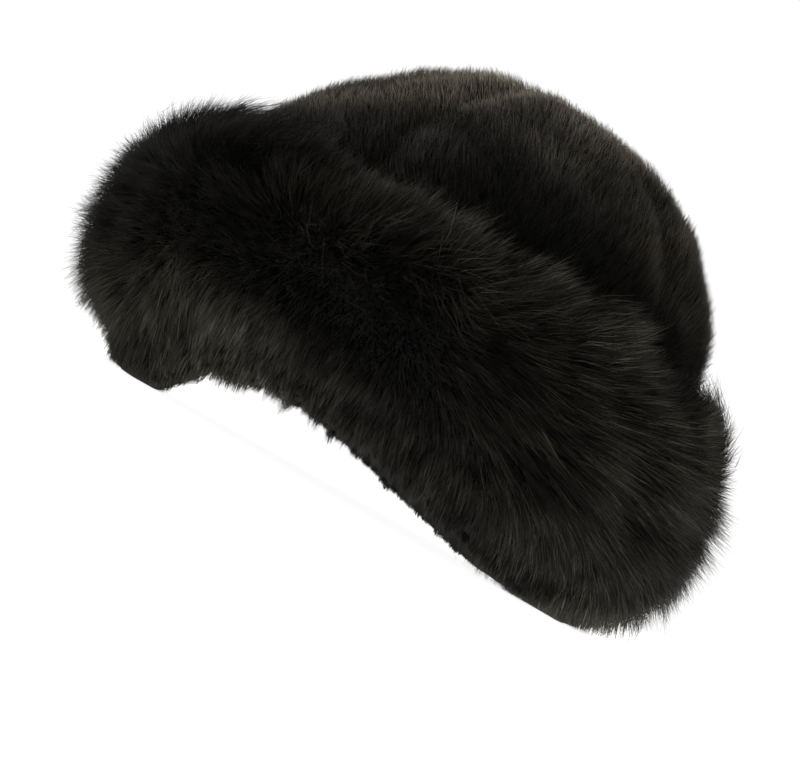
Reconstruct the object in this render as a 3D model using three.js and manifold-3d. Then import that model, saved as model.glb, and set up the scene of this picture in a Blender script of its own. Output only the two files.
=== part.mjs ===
// A women's winter hat of black fur: a soft domed crown of short, dense fur, sewn from four gores,
// and a wide turned-up cuff of long fur that stands out all round it.
// Millimetres, +Z up. The hat stands on z = 0 with its front towards -Y and its wearer's left towards +X.
import * as THREE from "three";
import { mergeVertices } from "three/addons/utils/BufferGeometryUtils.js";
import Module from "manifold-3d";

const wasm = await Module();
wasm.setup();

// The head opening is an ellipse for a 57 cm head. Every level of the hat is this ellipse grown by a
// distance called "out". Angles go round it from the front, through the wearer's left, to the back.
const OPENING = { halfWidth: 82, halfLength: 97, centreY: 4.5 };
const SEWING_GAP = 0.3;

// The crown's outer fur surface: a wall that flares up to the widest level, and a dome over it. The
// dome's section is a superellipse, sloping at the front and fuller at the back.
const CROWN = {
  bottomZ: 6,
  widestZ: 108,
  topZ: 198,
  topY: -2,
  bottomOut: 3,
  sideOut: 17,
  frontOut: 20,
  backOut: 14,
  bottomWall: 2.6,
  domeWall: 7,
  frontPower: 1.63,
  backPower: 2.2,
  wallSteps: 3,
  domeSteps: 9,
};

// The four gores meet at the top. Each row is a gore with the angles of its two seams.
const GORES = [
  { name: "crown_front_gore", from: -50, to: 50 },
  { name: "crown_left_gore", from: 50, to: 134 },
  { name: "crown_back_gore", from: 134, to: 226 },
  { name: "crown_right_gore", from: 226, to: 310 },
];
// Where the columns of a gore stand, as shares of the way from seam to seam: closer beside the seams.
const GORE_COLUMNS = [0, 0.07, 0.16, 0.3, 0.43, 0.57, 0.7, 0.84, 0.93, 1];
const SEAM = { depth: 3, halfWidth: 7, fadeFromZ: 105, fadeOverZ: 25 };

// Slack in the soft crown: each row is a shallow dent, centred at an angle and a height.
const DENTS = [
  { angle: 12, z: 165, depth: 2.6, spreadAngle: 20, spreadZ: 14 },
  { angle: 84, z: 168, depth: 3.0, spreadAngle: 22, spreadZ: 16 },
  { angle: 165, z: 158, depth: 2.4, spreadAngle: 20, spreadZ: 18 },
  { angle: 262, z: 160, depth: 2.8, spreadAngle: 24, spreadZ: 16 },
  { angle: 338, z: 150, depth: 1.8, spreadAngle: 18, spreadZ: 14 },
];
const SLACK_FREE_TOP = 40;

// The cuff's fur surface in section, from the sole beside the opening, out round the roll, and up and
// over to the crown. Each row is one point: its distance out and its height at three places round.
const CUFF_SECTION = [
  { frontOut: 5, frontZ: 0, sideOut: 5, sideZ: 0, backOut: 5, backZ: 0 },
  { frontOut: 18, frontZ: 4, sideOut: 22, sideZ: 2, backOut: 25, backZ: 2 },
  { frontOut: 35, frontZ: 12, sideOut: 38, sideZ: 10, backOut: 38, backZ: 13 },
  { frontOut: 50, frontZ: 24, sideOut: 50, sideZ: 23, backOut: 47, backZ: 27 },
  { frontOut: 59, frontZ: 42, sideOut: 56, sideZ: 40, backOut: 51, backZ: 43 },
  { frontOut: 61, frontZ: 62, sideOut: 58, sideZ: 59, backOut: 51, backZ: 59 },
  { frontOut: 61, frontZ: 82, sideOut: 57, sideZ: 78, backOut: 49, backZ: 75 },
  { frontOut: 54, frontZ: 98, sideOut: 52, sideZ: 96, backOut: 45, backZ: 90 },
  { frontOut: 42, frontZ: 111, sideOut: 42, sideZ: 111, backOut: 36, backZ: 103 },
  { frontOut: 28, frontZ: 120, sideOut: 29, sideZ: 121, backOut: 25, backZ: 109 },
  { frontOut: 16, frontZ: 120, sideOut: 17, sideZ: 119, backOut: 15, backZ: 108 },
];
// The backing is a padded ring under the fur, set in from the fur surface, with a flat sole.
const BACKING = { around: 40, steps: 9, setIn: 13, setInAtTop: 7, soleWidth: 10, soleThickness: 2 };
// The sides of the cuff arch up off the table. Each row is an angle from the front and its height.
const ARCH = [
  { angle: 0, lift: 0 },
  { angle: 16, lift: 0 },
  { angle: 42, lift: 22 },
  { angle: 62, lift: 28 },
  { angle: 154, lift: 0 },
  { angle: 180, lift: 0 },
];

// The locks of long fur: rows from the sole to the top edge. A lock is a flat tuft with a root
// section, a middle section and a point, combed backwards and away from the middle of the cuff.
const LOCKS = {
  rows: 7,
  perRow: 26,
  length: 27,
  lengthSpread: 0.12,
  shorterAtSole: 0.35,
  shorterAtTop: 0.3,
  width: 30,
  thickness: 23,
  middleShare: 0.66,
  sunk: 4,
  sides: 4,
  combedBack: 1,
  fannedOut: 1.8,
};

const DEGREE = Math.PI / 180;
const { lerp, smoothstep } = THREE.MathUtils;

// A repeatable number from -1 to 1 for each pair of whole numbers.
function scatter(i, j) {
  const wave = Math.sin(i * 127.1 + j * 311.7) * 43758.5453;
  return 2 * (wave - Math.floor(wave)) - 1;
}

// A value that goes from front to side to back with the angle, level at each of the three.
function roundTheHat(angle, front, side, back) {
  const along = Math.cos(angle);
  return lerp(side, along > 0 ? front : back, along * along);
}

// The point at an angle round the opening, grown outwards by "out".
function aroundOpening(angle, out, z) {
  return new THREE.Vector3(
    (OPENING.halfWidth + out) * Math.sin(angle),
    OPENING.centreY - (OPENING.halfLength + out) * Math.cos(angle),
    z,
  );
}

// A smooth rise and fall through the rows of a table, read at a value between its first and last.
function readTable(rows, key, value, at) {
  const i = Math.max(1, rows.findIndex((row) => row[key] >= at));
  const share = smoothstep(at, rows[i - 1][key], rows[i][key]);
  return lerp(rows[i - 1][value], rows[i][value], share);
}

// A closed surface from a grid of points: each row is a closed loop, and each row joins the next. The
// ends close on a point each, or the last row joins the first where no end points are given.
function loopsToSolid(rows, ends) {
  const count = rows[0].length;
  const points = [...rows.flat(), ...(ends ?? [])];
  const faces = [];
  const joins = ends ? rows.length - 1 : rows.length;
  for (let i = 0; i < joins; i++) {
    const here = i * count;
    const there = ((i + 1) % rows.length) * count;
    for (let j = 0; j < count; j++) {
      const next = (j + 1) % count;
      faces.push([here + j, here + next, there + next], [here + j, there + next, there + j]);
    }
  }
  if (ends) {
    const first = rows.length * count;
    const lastRow = first - count;
    for (let j = 0; j < count; j++) {
      const next = (j + 1) % count;
      faces.push([first, next, j], [first + 1, lastRow + j, lastRow + next]);
    }
  }
  return toSolid(closedGeometry(points, faces));
}

// A three.js geometry from points and triangles, with equal points merged and flat triangles dropped.
function closedGeometry(points, faces) {
  const loose = new THREE.BufferGeometry();
  loose.setAttribute("position", new THREE.Float32BufferAttribute(points.flatMap((p) => p.toArray()), 3));
  loose.setIndex(faces.flat());
  const merged = mergeVertices(loose, 1e-4);
  const index = merged.index.array;
  const kept = [];
  for (let i = 0; i < index.length; i += 3) {
    const [a, b, c] = [index[i], index[i + 1], index[i + 2]];
    if (a !== b && b !== c && c !== a) kept.push(a, b, c);
  }
  return merged.setIndex(kept);
}

// A closed three.js geometry as a solid that can be cut and joined.
function toSolid(geometry) {
  const bare = geometry.clone();
  bare.deleteAttribute("normal");
  bare.deleteAttribute("uv");
  const merged = mergeVertices(bare, 1e-4);
  return new wasm.Manifold(new wasm.Mesh({
    numProp: 3,
    vertProperties: merged.attributes.position.array,
    triVerts: new Uint32Array(merged.index.array),
  }));
}

// A solid back as a three.js geometry.
function toGeometry(solid) {
  const mesh = solid.getMesh();
  const geometry = new THREE.BufferGeometry();
  geometry.setAttribute("position", new THREE.BufferAttribute(mesh.vertProperties, 3));
  geometry.setIndex(new THREE.BufferAttribute(mesh.triVerts, 1));
  geometry.computeVertexNormals();
  return geometry;
}

// How much the crown is drawn in at a point, by the seams and by the slack in the gores.
function crownDent(point) {
  const ahead = CROWN.topY - point.y;
  let seamDent = 0;
  for (const gore of GORES) {
    const angle = gore.to * DEGREE;
    const along = point.x * Math.sin(angle) + ahead * Math.cos(angle);
    const across = point.x * Math.cos(angle) - ahead * Math.sin(angle);
    const distance = along > 0 ? Math.abs(across) : Math.hypot(along, across);
    seamDent = Math.max(seamDent, SEAM.depth * Math.exp(-((distance / SEAM.halfWidth) ** 2)));
  }
  const angleHere = Math.atan2(point.x, ahead);
  let slackDent = 0;
  for (const dent of DENTS) {
    const aside = THREE.MathUtils.euclideanModulo(angleHere / DEGREE - dent.angle + 180, 360) - 180;
    const reach = (aside / dent.spreadAngle) ** 2 + ((point.z - dent.z) / dent.spreadZ) ** 2;
    slackDent += dent.depth * Math.exp(-reach);
  }
  const belowTop = smoothstep(Math.hypot(point.x, ahead), 0, SLACK_FREE_TOP);
  const aboveWall = smoothstep(point.z, SEAM.fadeFromZ, SEAM.fadeFromZ + SEAM.fadeOverZ);
  return aboveWall * (seamDent + belowTop * slackDent);
}

// A point of the crown. level runs from 0 at the bottom edge, through 1 at the widest level, to 2 at
// the top, and inset moves the point in from the fur surface, towards the head.
function crownPoint(angle, level, inset) {
  const widestOut = roundTheHat(angle, CROWN.frontOut, CROWN.sideOut, CROWN.backOut);
  if (level <= 1) {
    const out = lerp(CROWN.bottomOut, widestOut, Math.sin((level * Math.PI) / 2));
    return aroundOpening(angle, out - inset, lerp(CROWN.bottomZ + archLift(angle), CROWN.widestZ, level));
  }
  const power = lerp(CROWN.backPower, CROWN.frontPower, (1 + Math.cos(angle)) / 2);
  const tilt = ((level - 1) * Math.PI) / 2;
  const reach = Math.max(0, Math.cos(tilt)) ** (2 / power);
  const height = Math.sin(tilt) ** (2 / power);
  const top = new THREE.Vector3(0, CROWN.topY, lerp(CROWN.widestZ, CROWN.topZ - inset, height));
  const point = aroundOpening(angle, widestOut - inset, top.z).lerp(top, 1 - reach);
  const towardsHead = new THREE.Vector3(0, CROWN.topY, CROWN.widestZ).sub(point).normalize();
  return point.addScaledVector(towardsHead, crownDent(point));
}

// The ring angle at which the dome's column lies straight out from the top at a seam's angle.
function ringAngle(degrees) {
  const wanted = degrees * DEGREE;
  let angle = wanted;
  for (let i = 0; i < 12; i++) {
    const point = crownPoint(angle, 1, 0);
    const turned = Math.atan2(point.x, CROWN.topY - point.y);
    angle += Math.atan2(Math.sin(wanted - turned), Math.cos(wanted - turned));
  }
  return angle;
}

// The ring angles of a gore's columns, from seam to seam.
function goreColumns(gore) {
  return GORE_COLUMNS.map((share) => ringAngle(lerp(gore.from, gore.to, share)));
}

// The levels of the crown's rows, from the bottom edge to the top.
function crownLevels() {
  const wall = Array.from({ length: CROWN.wallSteps }, (_, i) => i / CROWN.wallSteps);
  const dome = Array.from({ length: CROWN.domeSteps + 1 }, (_, i) => 1 + i / CROWN.domeSteps);
  return [...wall, ...dome];
}

// One gore: an outer fur surface and an inner cloth surface, closed along its edges. It is set out
// from the top so that it keeps the sewing gap to its neighbours at both seams.
function goreGeometry(gore) {
  const columns = goreColumns(gore);
  const levels = crownLevels();
  const half = ((gore.to - gore.from) / 2) * DEGREE;
  const middle = ((gore.to + gore.from) / 2) * DEGREE;
  const setOut = new THREE.Vector3(Math.sin(middle), -Math.cos(middle), 0)
    .multiplyScalar(SEWING_GAP / 2 / Math.sin(half));
  const wallAt = (level) => lerp(CROWN.bottomWall, CROWN.domeWall, smoothstep(level, 0.6, 1.2));
  const points = columns.flatMap((angle) => [
    ...levels.map((level) => crownPoint(angle, level, 0).add(setOut)),
    ...levels.map((level) => crownPoint(angle, level, wallAt(level)).add(setOut)),
  ]);
  const rows = levels.length;
  const outer = (column, row) => column * 2 * rows + row;
  const inner = (column, row) => outer(column, row) + rows;
  const faces = [];
  const quad = (a, b, c, d) => faces.push([a, b, c], [a, c, d]);
  const last = columns.length - 1;
  for (let row = 0; row < rows - 1; row++) {
    for (let column = 0; column < last; column++) {
      quad(outer(column, row), outer(column + 1, row), outer(column + 1, row + 1), outer(column, row + 1));
      quad(inner(column + 1, row), inner(column, row), inner(column, row + 1), inner(column + 1, row + 1));
    }
    quad(inner(0, row), outer(0, row), outer(0, row + 1), inner(0, row + 1));
    quad(outer(last, row), inner(last, row), inner(last, row + 1), outer(last, row + 1));
  }
  for (let column = 0; column < last; column++) {
    quad(inner(column, 0), inner(column + 1, 0), outer(column + 1, 0), outer(column, 0));
  }
  return closedGeometry(points, faces);
}

// The space that the crown and the head take, with the sewing gap round it. The cuff is cleared of it.
function crownSpace() {
  const angles = GORES.flatMap((gore) => goreColumns(gore).slice(0, -1));
  const clear = -2 * SEWING_GAP;
  const skirt = angles.map((angle) => aroundOpening(angle, CROWN.bottomOut - clear, -2));
  const rows = crownLevels().slice(0, -1).map((level) =>
    angles.map((angle) => crownPoint(angle, level, clear)));
  const ends = [-2, CROWN.topZ].map((z) => new THREE.Vector3(0, CROWN.topY, z));
  return loopsToSolid([skirt, ...rows], ends);
}

// How high the sole of the cuff stands off the table at an angle.
function archLift(angle) {
  const fromFront = Math.abs(Math.atan2(Math.sin(angle), Math.cos(angle))) / DEGREE;
  return readTable(ARCH, "angle", "lift", fromFront);
}

const sectionCurves = ["front", "side", "back"].map((place) => new THREE.CatmullRomCurve3(
  CUFF_SECTION.map((row) => new THREE.Vector3(row[place + "Out"], row[place + "Z"], 0)),
));

// The cuff's fur surface. along runs from 0 at the sole to 1 at the top edge beside the crown.
function cuffPoint(angle, along) {
  const [front, side, back] = sectionCurves.map((curve) => curve.getPointAt(along));
  const out = roundTheHat(angle, front.x, side.x, back.x);
  const z = roundTheHat(angle, front.y, side.y, back.y);
  const top = roundTheHat(angle, ...["frontZ", "sideZ", "backZ"].map((key) => CUFF_SECTION.at(-1)[key]));
  return aroundOpening(angle, out, z + archLift(angle) * (1 - smoothstep(z, 0, top)));
}

// The direction straight out of the cuff's fur surface.
function cuffNormal(angle, along) {
  const step = 0.02;
  const up = cuffPoint(angle, Math.min(1, along + step)).sub(cuffPoint(angle, Math.max(0, along - step)));
  const round = cuffPoint(angle + step, along).sub(cuffPoint(angle - step, along));
  return round.cross(up).normalize();
}

// The backing under the fur: a closed ring whose sole is flat at the front and at the back.
function cuffBacking() {
  const angles = Array.from({ length: BACKING.around }, (_, j) => (2 * Math.PI * j) / BACKING.around);
  const levels = Array.from({ length: BACKING.steps }, (_, i) => lerp(0.2, 1, i / (BACKING.steps - 1)));
  const ring = (pointAt) => angles.map(pointAt);
  const inside = CROWN.bottomOut - 1;
  const sole = [inside, inside + BACKING.soleWidth].map((out) =>
    ring((angle) => aroundOpening(angle, out, archLift(angle))));
  const roll = levels.map((along) =>
    ring((angle) => {
      const setIn = lerp(BACKING.setIn, BACKING.setInAtTop, smoothstep(along, 0.75, 1));
      const point = cuffPoint(angle, along).addScaledVector(cuffNormal(angle, along), -setIn);
      return point.setZ(Math.max(point.z, archLift(angle) + BACKING.soleThickness));
    }));
  const top = [
    ring((angle) => crownPoint(angle, 1, 4).setZ(cuffPoint(angle, 1).z - BACKING.setInAtTop - 3)),
    ring((angle) => aroundOpening(angle, inside, CROWN.bottomZ + archLift(angle) + 20)),
  ];
  return loopsToSolid([...sole, ...roll, ...top]);
}

// One lock of fur. It leaves the backing nearly straight out, bends with the combing and ends in a point.
function furLock(row, place) {
  const along = lerp(0.12, 0.97, (row + 0.5) / LOCKS.rows);
  const stagger = (row % 2) / 2 + 0.2 * scatter(row, place);
  const angle = (2 * Math.PI * (place + stagger)) / LOCKS.perRow;
  const normal = cuffNormal(angle, along);
  const surface = cuffPoint(angle, along);
  const backwards = cuffPoint(angle + 0.02 * Math.sign(Math.sin(angle)), along).sub(surface).normalize();
  const upwards = cuffPoint(angle, along + 0.02).sub(surface).normalize();
  const combing = backwards.clone().multiplyScalar(LOCKS.combedBack * Math.abs(Math.sin(angle)))
    .addScaledVector(upwards, LOCKS.fannedOut * (along - 0.5) + 0.2 * scatter(place, row));
  const depth = LOCKS.sunk + lerp(BACKING.setIn, BACKING.setInAtTop, smoothstep(along, 0.75, 1));
  const shorter = LOCKS.shorterAtSole * (1 - smoothstep(along, 0, 0.3)) +
    LOCKS.shorterAtTop * smoothstep(along, 0.75, 1);
  const length = LOCKS.length * (1 - shorter) * (1 + LOCKS.lengthSpread * scatter(row + 9, place));
  const leaving = normal.clone().addScaledVector(combing, 0.2).normalize();
  const bending = normal.clone().addScaledVector(combing, 0.9).normalize();
  const root = surface.clone().addScaledVector(normal, -depth);
  const middle = root.clone().addScaledVector(leaving, 0.55 * length);
  const tip = middle.clone().addScaledVector(bending, 0.45 * length);
  const wide = new THREE.Vector3().crossVectors(leaving, upwards).normalize();
  const thick = new THREE.Vector3().crossVectors(leaving, wide).normalize();
  const section = (centre, share) => Array.from({ length: LOCKS.sides }, (_, k) => {
    const turned = (2 * Math.PI * k) / LOCKS.sides;
    return centre.clone()
      .addScaledVector(wide, (share * LOCKS.width * Math.cos(turned)) / 2)
      .addScaledVector(thick, (share * LOCKS.thickness * Math.sin(turned)) / 2);
  });
  return loopsToSolid([section(root, 1), section(middle, LOCKS.middleShare)], [root, tip]);
}

// A block that holds everything above the table.
function aboveTable() {
  const block = new THREE.BoxGeometry(800, 800, 400);
  return toSolid(block.translate(0, 0, 200));
}

// The cuff: the backing with every lock joined on, trimmed at the table and cleared of the crown.
function cuffGeometry() {
  let solid = cuffBacking();
  for (let row = 0; row < LOCKS.rows; row++) {
    for (let place = 0; place < LOCKS.perRow; place++) solid = solid.add(furLock(row, place));
  }
  return toGeometry(solid.subtract(crownSpace()).intersect(aboveTable()));
}

function namedMesh(name, geometry, material) {
  const mesh = new THREE.Mesh(geometry, material);
  mesh.name = name;
  return mesh;
}

const shortFur = new THREE.MeshStandardMaterial({ color: 0x15130f, roughness: 0.75, metalness: 0 });
const longFur = new THREE.MeshStandardMaterial({ color: 0x100f0d, roughness: 0.6, metalness: 0 });

const hat = new THREE.Group();
for (const gore of GORES) hat.add(namedMesh(gore.name, goreGeometry(gore), shortFur));
hat.add(namedMesh("cuff", cuffGeometry(), longFur));

export default hat;
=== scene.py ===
# %% [markdown]
# # A black fur hat
#
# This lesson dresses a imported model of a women's winter hat. The hat has a soft domed crown of short
# fur, sewn from four gores, and a wide turned-up cuff of long fur. Fur is the whole look of it, so most
# of the lesson is about strands: where they grow, which way they lie, and how they gather into points.
#
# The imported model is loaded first, because every piece has to sit where its solid sits.

import bpy
import numpy as np
from mathutils import Matrix, Vector


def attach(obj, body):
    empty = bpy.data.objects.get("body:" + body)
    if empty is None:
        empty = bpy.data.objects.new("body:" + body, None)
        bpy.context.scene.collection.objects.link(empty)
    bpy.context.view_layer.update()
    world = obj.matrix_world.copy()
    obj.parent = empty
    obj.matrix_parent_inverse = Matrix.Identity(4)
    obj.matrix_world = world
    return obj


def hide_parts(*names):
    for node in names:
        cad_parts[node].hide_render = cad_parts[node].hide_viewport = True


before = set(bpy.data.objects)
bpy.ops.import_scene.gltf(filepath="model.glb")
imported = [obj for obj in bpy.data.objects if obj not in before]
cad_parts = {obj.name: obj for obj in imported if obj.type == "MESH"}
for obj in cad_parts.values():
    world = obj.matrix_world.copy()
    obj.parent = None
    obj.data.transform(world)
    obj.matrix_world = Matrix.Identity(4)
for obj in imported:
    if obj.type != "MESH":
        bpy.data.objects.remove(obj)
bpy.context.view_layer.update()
MM = 0.001

# %% [markdown]
# ## The camera
#
# The hat stands on a white table, and the picture of it is turned: the front of the hat points up and
# to the left. So the camera looks level at the wearer's left side, from just above the table, and is
# rolled about its own axis. A long lens from over a metre away keeps the near fur from looking swollen.

# %% Camera
IMAGE_WIDTH = 800
PIXELS_PER_MM = 2.3
CAMERA = {"azimuth": 80, "elevation": -1.5, "roll": 30, "distance": 1200}
LOOK_AT = Vector((0, 0.6, 56))


def add_camera():
    """A camera that circles the hat by azimuth and elevation, then rolls about the line it looks along."""
    azimuth, elevation, roll = (np.radians(CAMERA[k]) for k in ("azimuth", "elevation", "roll"))
    back = Vector((
        np.sin(azimuth) * np.cos(elevation),
        -np.cos(azimuth) * np.cos(elevation),
        np.sin(elevation),
    ))
    data = bpy.data.cameras.new("camera")
    data.sensor_width = 36
    data.lens = 36 * PIXELS_PER_MM * CAMERA["distance"] / IMAGE_WIDTH
    camera = bpy.data.objects.new("camera", data)
    turned = (-back).to_track_quat("-Z", "Y").to_matrix() @ Matrix.Rotation(roll, 3, "Z")
    camera.matrix_world = Matrix.LocRotScale((LOOK_AT + CAMERA["distance"] * back) * MM, turned, None)
    bpy.context.scene.collection.objects.link(camera)
    bpy.context.scene.camera = camera
    return camera


camera = add_camera()
print(f"lens {camera.data.lens:.0f} mm, {camera.location.z / MM:.0f} mm above the table")

# %% [markdown]
# ## The table and the light
#
# Black fur is only readable by its highlights, so the light is soft and comes from several sides: a
# broad one overhead, one behind the hat that edges the fur, and white surroundings. The table is white
# and glows a little, so that it runs into the background with no horizon.

# %% Table and lights
WARM_WHITE = (1.0, 0.98, 0.94)
TABLE_GLOW = {"seen": 0.965, "lighting": 1.6}
SURROUNDINGS = {"seen": 1.05, "lighting": 0.12}
TABLE_HALF_SIDE = 8.0
HAT_MIDDLE = Vector((0, 0, 0.1))


def seen_or_lighting(tree, socket, seen, lighting):
    """One strength for what the camera sees of a thing, and another for the light that it gives."""
    path = tree.nodes.new("ShaderNodeLightPath")
    strength = tree.nodes.new("ShaderNodeMapRange")
    strength.inputs["To Min"].default_value = lighting
    strength.inputs["To Max"].default_value = seen
    tree.links.new(path.outputs["Is Camera Ray"], strength.inputs["Value"])
    tree.links.new(strength.outputs["Result"], socket)


def add_table():
    """A flat square of white, eight metres to each side of the hat."""
    mesh = bpy.data.meshes.new("table")
    square = ((-1, -1), (1, -1), (1, 1), (-1, 1))
    corners = [(x * TABLE_HALF_SIDE, y * TABLE_HALF_SIDE, 0) for x, y in square]
    mesh.from_pydata(corners, [], [(0, 1, 2, 3)])
    table = bpy.data.objects.new("table", mesh)
    bpy.context.scene.collection.objects.link(table)
    white = bpy.data.materials.new("white table")
    white.use_nodes = True
    sockets = white.node_tree.nodes["Principled BSDF"].inputs
    sockets["Base Color"].default_value = (0.8, 0.8, 0.8, 1)
    sockets["Roughness"].default_value = 0.9
    sockets["Emission Color"].default_value = (1, 1, 1, 1)
    seen_or_lighting(white.node_tree, sockets["Emission Strength"], **TABLE_GLOW)
    mesh.materials.append(white)


def add_soft_light(name, place, size, power):
    """A square area light at a place in metres, facing the hat."""
    data = bpy.data.lights.new(name, "AREA")
    data.size = size
    data.energy = power
    data.color = WARM_WHITE
    light = bpy.data.objects.new(name, data)
    light.location = place
    light.rotation_mode = "QUATERNION"
    light.rotation_quaternion = (HAT_MIDDLE - Vector(place)).to_track_quat("-Z", "Y")
    bpy.context.scene.collection.objects.link(light)


def white_surroundings():
    """White as the camera sees it, and a dimmer white as the hat is lit by it."""
    world = bpy.data.worlds.new("surroundings")
    bpy.context.scene.world = world
    world.use_nodes = True
    background = world.node_tree.nodes["Background"]
    background.inputs["Color"].default_value = (1, 1, 1, 1)
    seen_or_lighting(world.node_tree, background.inputs["Strength"], **SURROUNDINGS)


LIGHTS = [
    {"name": "overhead", "place": (-0.7, -0.6, 1.3), "size": 1.3, "power": 21},
    {"name": "over the back", "place": (-0.2, 0.9, 1.2), "size": 0.9, "power": 7},
]

add_table()
for light in LIGHTS:
    add_soft_light(**light)
white_surroundings()
bpy.context.scene.view_settings.view_transform = "Standard"
print(len(LIGHTS), "lights")

# %% [markdown]
# ## The shape of the hat
#
# Both furs grow from surfaces that are the head opening, an ellipse, grown outwards by a distance that
# changes with the height. The functions below give a point of each surface for an angle round the hat
# and a place along its section, for whole arrays at once. Angles start at the front and pass through
# the wearer's left.

# %% The opening
OPENING = {"half_width": 82, "half_length": 97, "centre_y": 4.5}


def mix(a, b, share):
    """The value that lies a share of the way from a to b."""
    return a + (b - a) * share


def smooth(value, low, high):
    """0 below low and 1 above high, rising as 3t^2 - 2t^3 between them."""
    t = np.clip((value - low) / (high - low), 0, 1)
    return t * t * (3 - 2 * t)


def round_the_hat(angle, front, side, back):
    """Front, side and back values joined by the square of the cosine of the angle."""
    along = np.cos(angle)
    return mix(side, np.where(along > 0, front, back), along**2)


def around_opening(angle, out, z):
    """The ellipse of the opening, with both half axes longer by out, at height z."""
    x = (OPENING["half_width"] + out) * np.sin(angle)
    y = OPENING["centre_y"] - (OPENING["half_length"] + out) * np.cos(angle)
    return np.stack(np.broadcast_arrays(x, y, z), axis=-1)


def unit(vectors):
    """Each vector divided by its length."""
    return vectors / np.maximum(np.linalg.norm(vectors, axis=-1, keepdims=True), 1e-9)


def directions(surface, angle, level, step, top):
    """Unit vectors at a place on a surface, from its points a small step away: out, up, round the hat."""
    up = unit(surface(angle, np.minimum(level + step, top)) - surface(angle, np.maximum(level - step, 0)))
    round_ = unit(surface(angle + step, level) - surface(angle - step, level))
    return unit(np.cross(round_, up)), up, round_


print("opening", 2 * OPENING["half_width"], "x", 2 * OPENING["half_length"], "mm")

# %% [markdown]
# The cuff's section is a short table of points at the front, at the side and at the back: how far out
# and how high. A smooth curve goes through each column, and its points are spaced evenly by length, so
# that fur planted by even steps of the parameter grows evenly.

# %% The cuff's surface
CUFF_SECTION = np.array([
    (5, 0, 5, 0, 5, 0),
    (18, 4, 22, 2, 25, 2),
    (35, 12, 38, 10, 38, 13),
    (50, 24, 50, 23, 47, 27),
    (59, 42, 56, 40, 51, 43),
    (61, 62, 58, 59, 51, 59),
    (61, 82, 57, 78, 49, 75),
    (54, 98, 52, 96, 45, 90),
    (42, 111, 42, 111, 36, 103),
    (28, 120, 29, 121, 25, 109),
    (16, 120, 17, 119, 15, 108),
], dtype=float)  # columns: front out, front z, side out, side z, back out, back z
ARCH = {"angle": [0, 16, 42, 62, 154, 180], "lift": [0, 0, 22, 28, 0, 0]}
SECTION_STEPS = 200


def smooth_curve(points):
    """A Catmull-Rom curve: each stretch is the cubic that leaves and arrives parallel to its neighbours."""
    padded = np.vstack([2 * points[0] - points[1], points, 2 * points[-1] - points[-2]])
    t = np.linspace(0, 1, SECTION_STEPS // len(points), endpoint=False)[:, None]
    a, b, c, d = padded[:-3], padded[1:-2], padded[2:-1], padded[3:]
    curve = 0.5 * (2 * b[:, None] + (c - a)[:, None] * t
                   + (2 * a - 5 * b + 4 * c - d)[:, None] * t**2
                   + (3 * b - a - 3 * c + d)[:, None] * t**3)
    return np.vstack([curve.reshape(-1, points.shape[1]), points[-1]])


def even_by_length(curve):
    """The same curve with its points spaced evenly, by reading it at even steps of its length."""
    reach = np.concatenate([[0], np.cumsum(np.linalg.norm(np.diff(curve, axis=0), axis=1))])
    wanted = np.linspace(0, reach[-1], SECTION_STEPS + 1)
    return np.stack([np.interp(wanted, reach, curve[:, k]) for k in range(2)], axis=1)


SECTION = [even_by_length(smooth_curve(CUFF_SECTION[:, k:k + 2])) for k in (0, 2, 4)]
SECTION_SHARE = np.linspace(0, 1, SECTION_STEPS + 1)


def from_front(angle):
    """How many degrees an angle is away from the front, on either side."""
    return np.degrees(np.abs(np.arctan2(np.sin(angle), np.cos(angle))))


def arch_lift(angle):
    """The height of the cuff's sole above the table, smooth between the rows of the table."""
    degrees, rows, lifts = from_front(angle), ARCH["angle"], ARCH["lift"]
    lift = np.zeros_like(degrees)
    for k in range(len(rows) - 1):
        inside = (degrees >= rows[k]) & (degrees <= rows[k + 1])
        lift = np.where(inside, mix(lifts[k], lifts[k + 1], smooth(degrees, rows[k], rows[k + 1])), lift)
    return lift


def cuff_point(angle, along):
    """A point of the cuff's fur surface, from 0 at the sole to 1 at the top edge beside the crown."""
    angle, along = np.broadcast_arrays(np.asarray(angle, float), along)
    out = round_the_hat(angle, *[np.interp(along, SECTION_SHARE, s[:, 0]) for s in SECTION])
    z = round_the_hat(angle, *[np.interp(along, SECTION_SHARE, s[:, 1]) for s in SECTION])
    top = round_the_hat(angle, *[s[-1, 1] for s in SECTION])
    return around_opening(angle, out, z + arch_lift(angle) * (1 - smooth(z / top, 0, 1)))


print("cuff section read at", SECTION_STEPS + 1, "places")

# %% [markdown]
# The crown flares up to its widest level as a plain wall, and closes over as a dome whose section is a
# superellipse: sloping at the front, fuller at the back. The seams draw it in, and so does the slack of
# the soft cloth, so both are worked in here and the fur follows them.

# %% The crown's surface
CROWN = {
    "bottom_z": 6, "widest_z": 108, "top_z": 198, "top_y": -2,
    "bottom_out": 3, "side_out": 17, "front_out": 20, "back_out": 14,
    "bottom_wall": 2.6, "dome_wall": 7, "front_power": 1.63, "back_power": 2.2,
}
GORES = [
    {"name": "front", "from": -50, "to": 50},
    {"name": "left", "from": 50, "to": 134},
    {"name": "back", "from": 134, "to": 226},
    {"name": "right", "from": 226, "to": 310},
]
SEAM = {"depth": 3, "half_width": 7, "fade_from_z": 105, "fade_over_z": 25}
DENTS = [
    {"angle": 12, "z": 165, "depth": 2.6, "spread_angle": 20, "spread_z": 14},
    {"angle": 84, "z": 168, "depth": 3.0, "spread_angle": 22, "spread_z": 16},
    {"angle": 165, "z": 158, "depth": 2.4, "spread_angle": 20, "spread_z": 18},
    {"angle": 262, "z": 160, "depth": 2.8, "spread_angle": 24, "spread_z": 16},
    {"angle": 338, "z": 150, "depth": 1.8, "spread_angle": 18, "spread_z": 14},
]
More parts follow.
